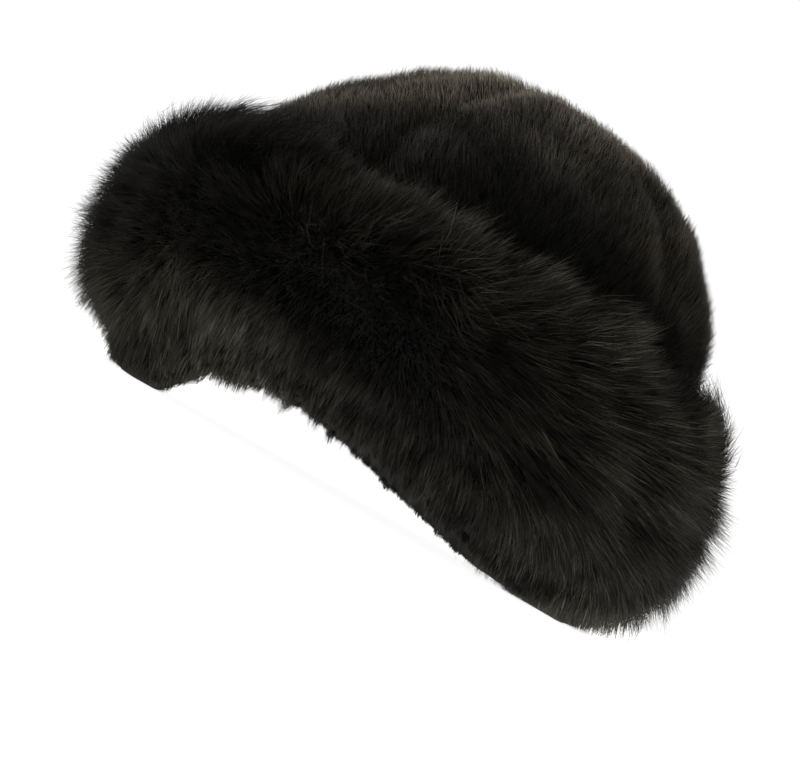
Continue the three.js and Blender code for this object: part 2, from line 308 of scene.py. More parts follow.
SLACK_FREE_TOP = 40


def seam_distance(points):
    """How far a point is, seen from above, from the nearest seam line that runs out from the top."""
    ahead = CROWN["top_y"] - points[..., 1]
    nearest = np.full(points.shape[:-1], 1e3)
    for gore in GORES:
        angle = np.radians(gore["to"])
        along = points[..., 0] * np.sin(angle) + ahead * np.cos(angle)
        across = points[..., 0] * np.cos(angle) - ahead * np.sin(angle)
        nearest = np.minimum(nearest, np.where(along > 0, np.abs(across), np.hypot(along, across)))
    return nearest


def crown_dent(points):
    """How far the crown is drawn in: a bell curve across each seam, and one for each slack dent."""
    ahead = CROWN["top_y"] - points[..., 1]
    here = np.degrees(np.arctan2(points[..., 0], ahead))
    slack = 0
    for dent in DENTS:
        aside = (here - dent["angle"] + 180) % 360 - 180
        reach = (aside / dent["spread_angle"])**2 + ((points[..., 2] - dent["z"]) / dent["spread_z"])**2
        slack = slack + dent["depth"] * np.exp(-reach)
    seam = SEAM["depth"] * np.exp(-(seam_distance(points) / SEAM["half_width"])**2)
    below_top = smooth(np.hypot(points[..., 0], ahead), 0, SLACK_FREE_TOP)
    above_wall = smooth(points[..., 2], SEAM["fade_from_z"], SEAM["fade_from_z"] + SEAM["fade_over_z"])
    return above_wall * (seam + below_top * slack)


def crown_point(angle, level, inset=0):
    """A point of the crown's fur surface: level 0 is its edge, 1 its widest place and 2 its top.

    Below 1 the wall flares as a sine. Above it, the reach is the cosine and the rise the sine of one
    quarter turn, both to the power 2 over the superellipse's own, and the dents draw it to its heart.
    """
    angle, level = np.broadcast_arrays(np.asarray(angle, float), level)
    widest = round_the_hat(angle, CROWN["front_out"], CROWN["side_out"], CROWN["back_out"])
    wall_out = mix(CROWN["bottom_out"], widest, np.sin(np.clip(level, 0, 1) * np.pi / 2))
    wall_z = mix(CROWN["bottom_z"] + arch_lift(angle), CROWN["widest_z"], np.clip(level, 0, 1))
    power = mix(CROWN["back_power"], CROWN["front_power"], (1 + np.cos(angle)) / 2)
    tilt = np.clip(level - 1, 0, 1) * np.pi / 2
    reach = np.clip(np.cos(tilt), 0, 1)**(2 / power)
    height = np.sin(tilt)**(2 / power)
    dome_z = mix(CROWN["widest_z"], CROWN["top_z"] - inset, height)
    top = np.stack(np.broadcast_arrays(0.0, CROWN["top_y"], dome_z), axis=-1)
    dome = mix(top, around_opening(angle, widest - inset, dome_z), reach[..., None])
    heart = np.array([0, CROWN["top_y"], CROWN["widest_z"]])
    dome = dome + unit(heart - dome) * crown_dent(dome)[..., None]
    wall = around_opening(angle, wall_out - inset, wall_z)
    return np.where((level <= 1)[..., None], wall, dome)


def ring_angle(degrees):
    """The ring angle whose place at the widest level lies at a seam's angle, seen from the top."""
    wanted = np.radians(degrees)
    angle = np.array(wanted, float)
    for _ in range(12):
        point = crown_point(angle, 1.0)
        turned = np.arctan2(point[..., 0], CROWN["top_y"] - point[..., 1])
        angle = angle + np.arctan2(np.sin(wanted - turned), np.cos(wanted - turned))
    return angle


print("crown top at", round(float(crown_point(0.0, 2.0)[2])), "mm")

# %% [markdown]
# ## From arrays to meshes
#
# Every piece is handed to Blender as two arrays, one of points and one of triangles. The helper also
# merges points that fall together, as at the top of the crown, and drops the triangles that this makes
# flat, so that each piece is a closed surface.

# %% Mesh helpers
def add_piece(name, points, triangles, material, node):
    """A mesh object from points in millimetres and triangles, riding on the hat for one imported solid."""
    mesh = bpy.data.meshes.new(name)
    mesh.vertices.add(len(points))
    mesh.vertices.foreach_set("co", (np.asarray(points) * MM).astype(np.float32).ravel())
    mesh.loops.add(3 * len(triangles))
    mesh.loops.foreach_set("vertex_index", np.asarray(triangles, np.int32).ravel())
    mesh.polygons.add(len(triangles))
    mesh.polygons.foreach_set("loop_start", np.arange(0, 3 * len(triangles), 3, dtype=np.int32))
    mesh.polygons.foreach_set("use_smooth", np.full(len(triangles), True))
    mesh.update(calc_edges=True)
    mesh.validate()
    mesh.materials.append(material)
    piece = bpy.data.objects.new(name, mesh)
    bpy.context.scene.collection.objects.link(piece)
    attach(piece, "root")
    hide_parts(node)
    return piece


def weld(points, triangles):
    """Points closer than a hundredth of a millimetre become one, and triangles with no width go."""
    _, first, where = np.unique(np.round(points, 2), axis=0, return_index=True, return_inverse=True)
    welded = where.reshape(-1)[triangles]
    a, b, c = welded.T
    return points[first], welded[(a != b) & (b != c) & (c != a)]


def grid_triangles(rows, columns, joined=False):
    """Two triangles for each cell of a grid of points, whose last row and column may join the first."""
    i = np.arange(rows if joined else rows - 1)[:, None]
    j = np.arange(columns if joined else columns - 1)[None, :]
    a = i * columns + j
    b = i * columns + (j + 1) % columns
    c = (i + 1) % rows * columns + (j + 1) % columns
    d = (i + 1) % rows * columns + j
    return np.concatenate([np.stack([a, b, c], -1).reshape(-1, 3), np.stack([a, c, d], -1).reshape(-1, 3)])


print("helpers ready")

# %% [markdown]
# ## Fur materials
#
# A strand of this fur is a warm black, a little browner towards its tip. It is darkest at the root,
# partly as painted shade for the depth of the packed underfur. Every strand carries two values on its
# points: how far along the strand a point is, and a shade of its own. That shade holds a random tone
# together with painted light and shade. One node group turns the two into a colour for both furs. The
# soft gloss comes from the shader alone.

# %% Node group for the tone of a strand
def strand_tone_group():
    """Colour = root to tip by the place along the strand, times the strand's own shade of tone and painted
    light.
    """
    group = bpy.data.node_groups.new("strand tone", "ShaderNodeTree")
    for name in ("Root", "Tip"):
        group.interface.new_socket(name, in_out="INPUT", socket_type="NodeSocketColor")
    group.interface.new_socket("Color", in_out="OUTPUT", socket_type="NodeSocketColor")
    nodes, links = group.nodes, group.links
    given, made = nodes.new("NodeGroupInput"), nodes.new("NodeGroupOutput")
    along, shade = nodes.new("ShaderNodeAttribute"), nodes.new("ShaderNodeAttribute")
    along.attribute_name, shade.attribute_name = "along", "shade"
    length = nodes.new("ShaderNodeMix")
    length.data_type = "RGBA"
    links.new(along.outputs["Fac"], length.inputs["Factor"])
    links.new(given.outputs["Root"], length.inputs["A"])
    links.new(given.outputs["Tip"], length.inputs["B"])
    scaled = nodes.new("ShaderNodeVectorMath")
    scaled.operation = "SCALE"
    links.new(length.outputs["Result"], scaled.inputs["Vector"])
    links.new(shade.outputs["Fac"], scaled.inputs["Scale"])
    links.new(scaled.outputs["Vector"], made.inputs["Color"])
    return group


STRAND_TONE = strand_tone_group()


def fur_material(name, root, tip, roughness, gloss):
    """A Principled material whose colour comes from the strand tone group."""
    material = bpy.data.materials.new(name)
    material.use_nodes = True
    nodes, links = material.node_tree.nodes, material.node_tree.links
    shader = nodes["Principled BSDF"]
    tone = nodes.new("ShaderNodeGroup")
    tone.node_tree = STRAND_TONE
    tone.inputs["Root"].default_value = (*root, 1)
    tone.inputs["Tip"].default_value = (*tip, 1)
    links.new(tone.outputs["Color"], shader.inputs["Base Color"])
    shader.inputs["Roughness"].default_value = roughness
    shader.inputs["Specular IOR Level"].default_value = gloss
    return material


# The root colours are darker than the tips partly as painted shade deep in the fur.
SHORT_FUR = fur_material(
    "short fur", root=(0.014, 0.0123, 0.0094), tip=(0.056, 0.0485, 0.036), roughness=0.6, gloss=0.12)
LONG_FUR = fur_material(
    "long fur", root=(0.003, 0.0028, 0.0022), tip=(0.034, 0.0315, 0.0243), roughness=0.55, gloss=0.05)
print("materials:", SHORT_FUR.name, "and", LONG_FUR.name)

# %% [markdown]
# The skin under the fur shows only between strands and inside the hollow of the hat. It is a knitted
# cloth, near black, with a fine rib.

# %% Backing material
def backing_material():
    """A near-black cloth: two crossed waves make a small knitted relief, and a noise mottles its tone."""
    material = bpy.data.materials.new("knitted backing")
    material.use_nodes = True
    nodes, links = material.node_tree.nodes, material.node_tree.links
    shader = nodes["Principled BSDF"]
    place = nodes.new("ShaderNodeTexCoord")
    heights = []
    for direction in ("Z", "DIAGONAL"):
        wave = nodes.new("ShaderNodeTexWave")
        wave.bands_direction = direction
        wave.inputs["Scale"].default_value = 160
        wave.inputs["Distortion"].default_value = 0.6
        links.new(place.outputs["Object"], wave.inputs["Vector"])
        heights.append(wave.outputs["Fac"])
    knit = nodes.new("ShaderNodeMath")
    knit.operation = "MULTIPLY"
    links.new(heights[0], knit.inputs[0])
    links.new(heights[1], knit.inputs[1])
    bump = nodes.new("ShaderNodeBump")
    bump.inputs["Distance"].default_value = 0.0006
    bump.inputs["Strength"].default_value = 0.6
    links.new(knit.outputs["Value"], bump.inputs["Height"])
    links.new(bump.outputs["Normal"], shader.inputs["Normal"])
    mottle = nodes.new("ShaderNodeTexNoise")
    mottle.inputs["Scale"].default_value = 120
    links.new(place.outputs["Object"], mottle.inputs["Vector"])
    tone = nodes.new("ShaderNodeValToRGB")
    tone.color_ramp.elements[0].color = (0.003, 0.0028, 0.0026, 1)
    tone.color_ramp.elements[1].color = (0.008, 0.0075, 0.007, 1)
    links.new(mottle.outputs["Fac"], tone.inputs["Fac"])
    links.new(tone.outputs["Color"], shader.inputs["Base Color"])
    shader.inputs["Roughness"].default_value = 0.9
    shader.inputs["Specular IOR Level"].default_value = 0.2
    return material


BACKING = backing_material()
print("material:", BACKING.name)

# %% [markdown]
# ## The crown's four pelts
#
# Each gore is a thin shell that meets its neighbours at the seams, so that no light comes through. Its
# outer face is set in from the crown's surface by the height of the pile. A grid from seam to seam and
# from edge to top gives both faces, and strips of triangles close it round its edge.

# %% Crown pelts
PILE_HEIGHT = 4.2
EDGE_PILE = 0.4
PELT_COLUMNS = 26
PELT_LEVELS = np.concatenate([np.linspace(0, 1, 7, endpoint=False), np.linspace(1, 2, 23)])
PELT_ROWS = len(PELT_LEVELS)


def crown_pelt(gore):
    """An outer and an inner grid over a gore, joined by strips at the seams and at the bottom edge."""
    share = smooth(np.linspace(0, 1, PELT_COLUMNS), -0.6, 1.6)
    share = (share - share[0]) / (share[-1] - share[0])
    angle = ring_angle(mix(gore["from"], gore["to"], share))[:, None]
    level = PELT_LEVELS[None, :]
    inner_inset = mix(CROWN["bottom_wall"], CROWN["dome_wall"], smooth(level, 0.6, 1.2))
    outer_inset = mix(EDGE_PILE, PILE_HEIGHT, smooth(level, 0.6, 1.2))
    outer = crown_point(angle, level, outer_inset).reshape(-1, 3)
    inner = crown_point(angle, level, inner_inset).reshape(-1, 3)
    face = grid_triangles(PELT_COLUMNS, PELT_ROWS)
    count = PELT_COLUMNS * PELT_ROWS
    triangles = [face, face[:, ::-1] + count]
    edges = [
        np.arange(PELT_ROWS)[::-1],
        (PELT_COLUMNS - 1) * PELT_ROWS + np.arange(PELT_ROWS),
        np.arange(PELT_COLUMNS) * PELT_ROWS,
    ]
    for edge in edges:
        a, b = edge[:-1], edge[1:]
        triangles += [np.stack([a, a + count, b + count], -1), np.stack([a, b + count, b], -1)]
    return weld(np.vstack([outer, inner]), np.vstack(triangles))


for gore in GORES:
    points, triangles = crown_pelt(gore)
    node = f"crown_{gore['name']}_gore"
    add_piece(f"crown_{gore['name']}_pelt", points, triangles, BACKING, node)
    print(node, len(triangles), "triangles")

# %% [markdown]
# ## The cuff's padded ring
#
# Under the long fur the cuff is a padded roll. Its surface is the cuff's fur surface set in by the depth
# of the fur, closed underneath by a flat sole and on the inside by a plain wall beside the crown. The
# grid joins itself both ways, as on a doughnut.

# %% Cuff pelt
RING_AROUND, ROLL_STEPS, ROLL_FROM = 144, 40, 0.2
FUR_DEPTH = {"side": 12, "top": 6.5}
SOLE = {"width": 10, "thickness": 2}
ON_CUFF = {"step": 0.01, "top": 1}


def cuff_skin(angle, along):
    """The skin under the cuff's fur: the fur surface set in along its normal, and never below the sole."""
    out, _, _ = directions(cuff_point, angle, along, **ON_CUFF)
    depth = mix(FUR_DEPTH["side"], FUR_DEPTH["top"], smooth(along, 0.75, 1))
    skin = cuff_point(angle, along) - out * depth[..., None]
    skin[..., 2] = np.maximum(skin[..., 2], arch_lift(angle) + SOLE["thickness"])
    return skin


def cuff_ring():
    """Loops round the opening: two of the sole, those of the roll, and two of the inner wall."""
    angle = np.linspace(0, 2 * np.pi, RING_AROUND, endpoint=False)
    lift = arch_lift(angle)
    inside = CROWN["bottom_out"] + 1
    sole = [around_opening(angle, out, lift) for out in (inside, inside + SOLE["width"])]
    roll = [cuff_skin(angle, np.full_like(angle, along)) for along in np.linspace(ROLL_FROM, 1, ROLL_STEPS)]
    rim = crown_point(angle, 1.0, -1.0)
    rim[:, 2] = cuff_point(angle, 1.0)[:, 2] - FUR_DEPTH["top"] - 3
    wall = [rim, around_opening(angle, inside + 2, CROWN["bottom_z"] + lift + 20)]
    loops = np.stack([*sole, *roll, *wall])
    return loops.reshape(-1, 3), grid_triangles(*loops.shape[:2], joined=True)


points, triangles = cuff_ring()
add_piece("cuff_pelt", points, triangles, BACKING, "cuff")
print("cuff ring:", len(triangles), "triangles")

# %% [markdown]
# ## Planting strands
#
# A hair is a thin closed needle. Long hairs are spindles whose middle lies off the straight line, so
# that each one bends, and short hairs are plain cones. Roots are spread evenly by area: the surface is
# cut into many small cells, and the running total of their areas is read at even steps with a small
# random shift.

# %% Planting
CELLS_ROUND, CELLS_UP = 480, 240


def plant(surface, angles, levels, count, rng, weight=None):
    """Count places on a surface, spread by area times weight, as two arrays of its parameters."""
    turn = np.linspace(*angles, CELLS_ROUND + 1)
    level = np.linspace(*levels, CELLS_UP + 1)
    corners = surface(turn[:, None], level[None, :])
    across, up = np.diff(corners, axis=0)[:, :-1], np.diff(corners, axis=1)[:-1]
    area = np.linalg.norm(np.cross(across, up), axis=-1)
    if weight is not None:
        area = area * weight((turn[:-1, None] + turn[1:, None]) / 2, (level[:-1] + level[1:])[None, :] / 2)
    total = np.cumsum(area.ravel())
    wanted = (np.arange(count) + rng.random(count)) / count * total[-1]
    cell = np.minimum(np.searchsorted(total, wanted), area.size - 1)
    i, j = np.divmod(cell, CELLS_UP)
    angle = turn[i] + rng.random(count) * (turn[1] - turn[0])
    return angle, level[j] + rng.random(count) * (level[1] - level[0])


print("planting over", CELLS_ROUND * CELLS_UP, "cells")

# %% [markdown]
# Fur is never even. Two fields in space break it up, and as they are read at the roots they have no
# seams. The first is a slow drift, random numbers at the corners of large cubes with smooth steps in
# between, for the way the fur lies and for its tone. The second scatters one centre in each small cube
# and finds the nearest, for the locks that hairs gather into.

# %% Drift and locks
FIELD_SIDE = 440
MOODS, MOOD_STRIDE = 8192, 7919


def drift(points, size, seed, channels=1):
    """Random numbers at the corners of cubes, joined across each cube by smooth steps on all three axes."""
    cells = int(FIELD_SIDE / size) + 3
    corners = np.random.default_rng(seed).normal(size=(cells, cells, cells, channels))
    place = (points + FIELD_SIDE / 2) / size
    first = np.floor(place).astype(int)
    share = smooth(place - first, 0, 1)
    total = np.zeros((len(points), channels))
    for step in np.ndindex(2, 2, 2):
        near = np.prod(np.where(step, share, 1 - share), axis=1)
        total += near[:, None] * corners[tuple((first + step).T)]
    return total if channels > 1 else total[:, 0]


def nearest_lock(points, size, seed):
    """The step from each point to the nearest of a set of centres, one in each cube, and its number."""
    cells = int(FIELD_SIDE / size) + 3
    inside = np.random.default_rng(seed).random((cells, cells, cells, 3))
    place = (points + FIELD_SIDE / 2) / size
    first = np.floor(place).astype(int)
    best, step_to, number = np.full(len(points), np.inf), np.zeros_like(points), np.zeros(len(points), int)
    for step in np.ndindex(3, 3, 3):
        cube = first + step - 1
        away = cube + inside[tuple(cube.T)] - place
        distance = (away**2).sum(axis=1)
        closer = distance < best
        best[closer] = distance[closer]
        step_to[closer] = away[closer] * size
        number[closer] = np.ravel_multi_index(tuple(cube[closer].T), (cells,) * 3)
    return step_to, number


def mood(number, seed, channels=1):
    """A repeatable set of random numbers for each lock, so that its hairs share them."""
    table = np.random.default_rng(seed).normal(size=(MOODS, channels))
    picked = table[(number * MOOD_STRIDE) % MOODS]
    return picked if channels > 1 else picked[:, 0]


def along_surface(vectors, out):
    """The part of each vector that lies in the surface: the vector less its outward part."""
    return vectors - out * (vectors * out).sum(axis=1, keepdims=True)


print("fields cover", FIELD_SIDE, "mm")

# %% [markdown]
# The strands of a piece become one mesh. Each strand also gets a cell of its own in a flat map, cut
# along one side and laid out, so that a painted copy of the material has room for every hair.

# %% Strand meshes
RING = np.arange(3)
AFTER = (RING + 1) % 3


def ring_round(centre, axis, width):
    """Three points round a centre, at right angles to an axis, in the order that faces outwards."""
    helper = np.where(np.abs(axis[:, 2:3]) > 0.9, [[1.0, 0, 0]], [[0, 0, 1.0]])
    e1 = unit(np.cross(helper, axis))
    e2 = np.cross(axis, e1)
    turns = (2 * np.pi / 3 * RING)[None, :, None]
    spokes = np.cos(turns) * e1[:, None] + np.sin(turns) * e2[:, None]
    return centre[:, None] + width[:, None, None] / 2 * spokes


def bent_strands(root, middle, tip, width, shade):
    """Spindles of five points and six triangles: root, ring round the middle, tip."""
    ring = ring_round(middle, unit(tip - root), width)
    points = np.concatenate([root[:, None], ring, tip[:, None]], axis=1)
    low = np.stack([1 + AFTER, 1 + RING, 0 * RING], -1)
    high = np.stack([1 + RING, 1 + AFTER, 0 * RING + 4], -1)
    left, right, half = RING / 3, (RING + 1) / 3, 0 * RING + 0.5
    flat_low = np.stack([right, half, left, half, (left + right) / 2, 0 * half], -1)
    flat_high = np.stack([left, half, right, half, (left + right) / 2, 2 * half], -1)
    return {"points": points, "triangles": np.concatenate([low, high]), "shade": shade,
            "flat": np.concatenate([flat_low, flat_high]).reshape(-1, 2), "along": [0, 0.65, 0.65, 0.65, 1]}


def straight_strands(root, tip, width, shade, tip_tone):
    """Cones of four points and four triangles: ring round the root, tip."""
    points = np.concatenate([ring_round(root, unit(tip - root), width), tip[:, None]], axis=1)
    sides = np.stack([RING, AFTER, 0 * RING + 3], -1)
    left, right, floor = RING / 3, (RING + 1) / 3, 0 * RING + 0.15
    flat_sides = np.stack([left, floor, right, floor, (left + right) / 2, 0 * floor + 1], -1).reshape(-1, 2)
    flat_base = np.array([(0, 0), (0.5, 0.12), (1, 0)])
    return {"points": points, "triangles": np.concatenate([sides, [[0, 2, 1]]]), "shade": shade,
            "flat": np.concatenate([flat_sides, flat_base]), "along": [0, 0, 0, tip_tone]}


def add_fur(name, kinds, material, node):
    """One piece of fur from sets of strands: its mesh, its flat map, and the values its material reads."""
    points, triangles, flat, along, shade = [], [], [], [], []
    cells = int(np.ceil(np.sqrt(sum(len(kind["points"]) for kind in kinds))))
    planted = used = 0
    for kind in kinds:
        count, per = kind["points"].shape[:2]
        points.append(kind["points"].reshape(-1, 3))
        triangles.append((used + per * np.arange(count)[:, None, None] + kind["triangles"]).reshape(-1, 3))
        cell = planted + np.arange(count)
        corner = np.stack([cell % cells, cell // cells], -1)[:, None]
        flat.append(((corner + 0.05 + 0.9 * kind["flat"][None]) / cells).reshape(-1, 2))
        along.append(np.tile(np.float32(kind["along"]), count))
        shade.append(np.repeat(np.float32(kind["shade"]), per))
        planted, used = planted + count, used + count * per
    piece = add_piece(name, np.vstack(points), np.vstack(triangles), material, node)
    layer = piece.data.uv_layers.new(name="OFBake")
    layer.uv.foreach_set("vector", np.vstack(flat).astype(np.float32).ravel())
    for attribute, values in (("along", along), ("shade", shade)):
        new = piece.data.attributes.new(attribute, "FLOAT", "POINT")
        new.data.foreach_set("value", np.concatenate(values))
    print(f"{name}: {planted} strands, {len(piece.data.polygons)} triangles")


def pick(values, mine):
    """The rows of each array that a mask keeps."""
    return [value[mine] for value in values]


print("strand kinds: bent and straight")

# %% [markdown]
# ## The crown's short fur
#
# The pile was brushed upwards and a little to the front. So a hair lies along the outward way plus a
# brushed one, a fixed direction in space with its outward part taken off, which turns smoothly over the
# whole dome.

# %% The way the crown's fur is brushed
ON_CROWN = {"step": 0.004, "top": 2}
BRUSHED = {"front_y": -60, "front": (0, -0.5, 0.87), "back_y": 30, "back": (0, -0.08, 1.0)}


def brushed_way(angle, level, out):
    """The front's direction or the back's, by a smooth step in y, less its outward part."""
    back_share = smooth(crown_point(angle, level)[:, 1:2], BRUSHED["front_y"], BRUSHED["back_y"])
    return along_surface(mix(np.array(BRUSHED["front"]), np.array(BRUSHED["back"]), back_share), out)


print("brushed way at the front:", BRUSHED["front"])

# %% [markdown]
# The crown's strands carry painted light and shade. There is painted shade in the trench behind the
# cuff, where the long hair shades it. There are painted highlights over the top, on the front gore, on
# the soft fold above the trench and a little over the back. Smooth steps and bell curves join these
# tones without an edge.

# %% The crown's painted light and shade
# The trench's "tone" is painted shade. The fold's gain and the crown's top, front and back values are
# painted highlights.
TRENCH = {
    "angle": [0, 14, 30, 46, 60, 72, 88, 108, 130, 180],
    "z": [124, 127, 138, 151, 159, 157, 152, 143, 128, 120],
    "tone": 0.12, "clears": (-8, 11),
}
FOLD_HIGHLIGHT = {"above_trench": 13, "spread": 5, "gain": 0.4}
CROWN_PAINTED_LIGHT = {
    "side": 0.8, "top": 2.2, "top_z": (168, 194), "front_gain": 1.25, "front_middle": 0.35, "back": 1.15,
}


def crown_painted_light(angle, height):
    """Painted light: a side tone that rises to the top's, plus the front's gain and the fold's, times the
    back's gain and the trench's painted shade.
    """
    degrees = from_front(angle)
    from_trench = height - np.interp(degrees, TRENCH["angle"], TRENCH["z"])
    at_front = mix(CROWN_PAINTED_LIGHT["front_middle"], 1, smooth(degrees, 5, 32)) * (1 - smooth(degrees, 50, 80))
    fold = FOLD_HIGHLIGHT["gain"] * at_front * np.exp(-((from_trench - FOLD_HIGHLIGHT["above_trench"]) / FOLD_HIGHLIGHT["spread"])**2)
    above = mix(CROWN_PAINTED_LIGHT["side"], CROWN_PAINTED_LIGHT["top"], smooth(height, *CROWN_PAINTED_LIGHT["top_z"]))
    above = above + CROWN_PAINTED_LIGHT["front_gain"] * at_front + fold
    at_back = mix(1, CROWN_PAINTED_LIGHT["back"], smooth(degrees, 118, 140))
    return above * at_back * mix(TRENCH["tone"], 1, smooth(from_trench, *TRENCH["clears"]))


print("trench heights in mm:", min(TRENCH["z"]), "to", max(TRENCH["z"]))

# %% [markdown]
# Every hair rises to the crown's surface at the slant that it has. A few stand above it and soften the
# outline, and a slow drift makes the pile uneven. Along the seams the stitching catches it, and at the
# very top it is longer, to cover the dimple where the four seams meet.

# %% The crown's strands
SHORT = {
    "count": 66000, "levels": (0.86, 2), "width": 0.36, "sunk": 0.5, "longest": 15,
    "lean": 1.4, "jitter": 0.2, "drift": 0.3, "drift_size": 22, "turn": 0.13, "lock": 5.5, "pull": 0.22,
    "stray": 0.8, "uneven": 0.9, "uneven_size": 15, "caught": 0.2, "seam_reach": 5,
    "top_tuft": 2.8, "top_reach": 9, "patch": 0.38, "patch_size": 12, "lock_patch": 0.16,
}
PATCH_STRETCH = [1, 1, 0.6]


def crown_rise(root, rng):
    """The pile's height with a random share, a few strays, the slow drift and the tuft at the top."""
    from_top = np.hypot(root[:, 0], root[:, 1] - CROWN["top_y"])
    seam = np.exp(-(seam_distance(root) / SHORT["seam_reach"])**2) * smooth(from_top, 8, 30)
    rise = (PILE_HEIGHT + SHORT["sunk"]) * rng.uniform(0.75, 1.1, len(root))
    rise = rise + SHORT["stray"] * rng.exponential(size=len(root)).clip(0, 4)
    rise = rise + SHORT["top_tuft"] * np.exp(-(from_top / SHORT["top_reach"])**2)
    rise = rise + SHORT["uneven"] * drift(root, SHORT["uneven_size"], 37)
    return (1 - SHORT["caught"] * seam) * rise


def crown_strands(rng):
    """Root, tip, width and shade of every strand: the tip lies at the rise over the slant of its way."""
    count = SHORT["count"]
    angle, level = plant(crown_point, (0, 2 * np.pi), SHORT["levels"], count, rng)
    out, _, _ = directions(crown_point, angle, level, **ON_CROWN)
    brushed = brushed_way(angle, level, out)
    root = crown_point(angle, level, PILE_HEIGHT + SHORT["sunk"])
    to_lock, number = nearest_lock(root, SHORT["lock"], 32)
    turned = SHORT["drift"] * drift(root, SHORT["drift_size"], 31, 3) + SHORT["turn"] * mood(number, 35, 3)
    way = unit(out + SHORT["lean"] * brushed + turned + SHORT["jitter"] * rng.normal(size=(count, 3)))
    slant = np.maximum((way * out).sum(axis=1), 0.3)
    tip = root + way * np.minimum(crown_rise(root, rng) / slant, SHORT["longest"])[:, None]
    tip = tip + along_surface(to_lock, out) * (SHORT["pull"] * rng.uniform(0.3, 1, count))[:, None]
    width = SHORT["width"] * rng.uniform(0.7, 1.2, count)
    patches = 1 + SHORT["patch"] * drift(root * PATCH_STRETCH, SHORT["patch_size"], 33)
    patches = patches + SHORT["lock_patch"] * mood(number, 34)
    # Shade: the crown's painted light and shade, times a random tone and random patches.
    shade = crown_painted_light(angle, root[:, 2]) * (0.5 + 1.5 * rng.random(count)**2) * patches.clip(0.3, 2)
    return root, tip, width, shade


strands = crown_strands(np.random.default_rng(7))
seen = np.degrees(np.arctan2(strands[0][:, 0], CROWN["top_y"] - strands[0][:, 1]))
for gore in GORES:
    mine = (seen - gore["from"]) % 360 < gore["to"] - gore["from"]
    kinds = [straight_strands(*pick(strands, mine), tip_tone=1)]
    add_fur(f"crown_{gore['name']}_fur", kinds, SHORT_FUR, f"crown_{gore['name']}_gore")

# %% [markdown]
# ## The cuff's long fur
#
# At the front of the cuff the fur stands straight out, and from there it sweeps backwards along the
# sides. It fans up at the top edge and hangs at the sole. Each of these is a way added to the outward
# one, with a share that grows and fades smoothly round the hat and up the section.

# %% The way the cuff's fur is combed
COMBED = {
    "backward": 1.7, "backward_at_sole": 0.4, "up_at_top": 1.2, "down_below": 0.5,
    "off_sole": 0.9, "swept_down": 0.35, "hanging": 1.5,
}


def combing(angle, along):
    """Shares of the backward, upward and hanging ways that are added to the outward one at a place.

    Backward grows over the sides, fades at the back and is weaker near the sole. Upward is a rise at the
    top edge, less a dip below the middle and a sweep down the sides, plus a push off the sole.
    """
    degrees = from_front(angle)
    over_sides = smooth(degrees, 55, 115) * (1 - smooth(degrees, 148, 179))
    above_sole = mix(COMBED["backward_at_sole"], 1, smooth(along, 0.1, 0.42))
    swept = smooth(degrees, 70, 110) * (1 - smooth(along, 0.5, 0.75)) * smooth(along, 0.25, 0.45)
    upward = COMBED["up_at_top"] * smooth(along, 0.6, 0.95)
    upward = upward - COMBED["down_below"] * (1 - smooth(along, 0.15, 0.5))
    upward = upward + COMBED["off_sole"] * (1 - smooth(along, 0, 0.14)) - COMBED["swept_down"] * swept
    hanging = COMBED["hanging"] * (1 - smooth(along, 0.05, 0.42))
    return (COMBED["backward"] * over_sides * above_sole)[:, None], upward[:, None], hanging[:, None]


print("combed ways:", ", ".join(COMBED))

# %% [markdown]
# The long fur is painted nearly black round the middle of the front, as painted shade where its hairs
# are seen end on, and it is darker along the sole. Painted light makes it lighter where the hairs lie
# across the view: low on the front corners, over the back and along the top edge. At the side is a
# whorl, where hairs cross at random and get a painted highlight.

# %% The cuff's painted light and shade, and its whorl
# Painted light and shade: "low" lights the cuff low down, "sole" shades it at the sole, "middle" shades it
# where hairs are seen end on, and "rim" is the top edge's, darker at the front.
CUFF_PAINTED_LIGHT = {
    "angle": [0, 25, 38, 75, 110, 145], "low": [1.1, 2.1, 3.0, 0.75, 0.6, 1.9],
    "sole": 0.5, "middle": (0.21, 0.7), "rim": (0.3, 1.2), "low_until": (0.62, 0.36),
}
# The whorl's "tone" is a painted highlight, and its "jitter" crosses the hairs.
WHORL = {"angle": 58, "spread_angle": 9, "along": 0.62, "spread_along": 0.07, "jitter": 2.2, "tone": 1.4}


def cuff_painted_light(angle, along):
    """Painted light and shade: the low tone gives way to the middle one up the section, and that to the
    rim's, by smooth steps.
    """
    degrees = from_front(angle)
    low = np.interp(degrees, CUFF_PAINTED_LIGHT["angle"], CUFF_PAINTED_LIGHT["low"])
    low = low * mix(CUFF_PAINTED_LIGHT["sole"], 1, smooth(along, 0.02, 0.13))
    middle = mix(*CUFF_PAINTED_LIGHT["middle"], smooth(degrees, 74, 122))
    rim = mix(*CUFF_PAINTED_LIGHT["rim"], smooth(degrees, 35, 72))
    low_until = mix(*CUFF_PAINTED_LIGHT["low_until"], smooth(degrees, 30, 75))
    below_rim = mix(low, middle, smooth(along, 0.05, low_until))
    return mix(below_rim, rim, smooth(along, 0.6, 0.85))


def in_whorl(angle, along):
    """How much a place belongs to the whorl: a bell curve round the hat times one up the section."""
    aside = ((from_front(angle) - WHORL["angle"]) / WHORL["spread_angle"])**2
    return np.exp(-aside - ((along - WHORL["along"]) / WHORL["spread_along"])**2)


print("whorl", WHORL["angle"], "degrees round from the front")

# %% [markdown]
# The fur surface turns under at the bottom, but the ring under it has a flat sole with an edge. So the
# roots there are laid along the sole and up its edge, and only then follow the roll.

# %% The cuff's roots
SOLE_SHARE = 0.12


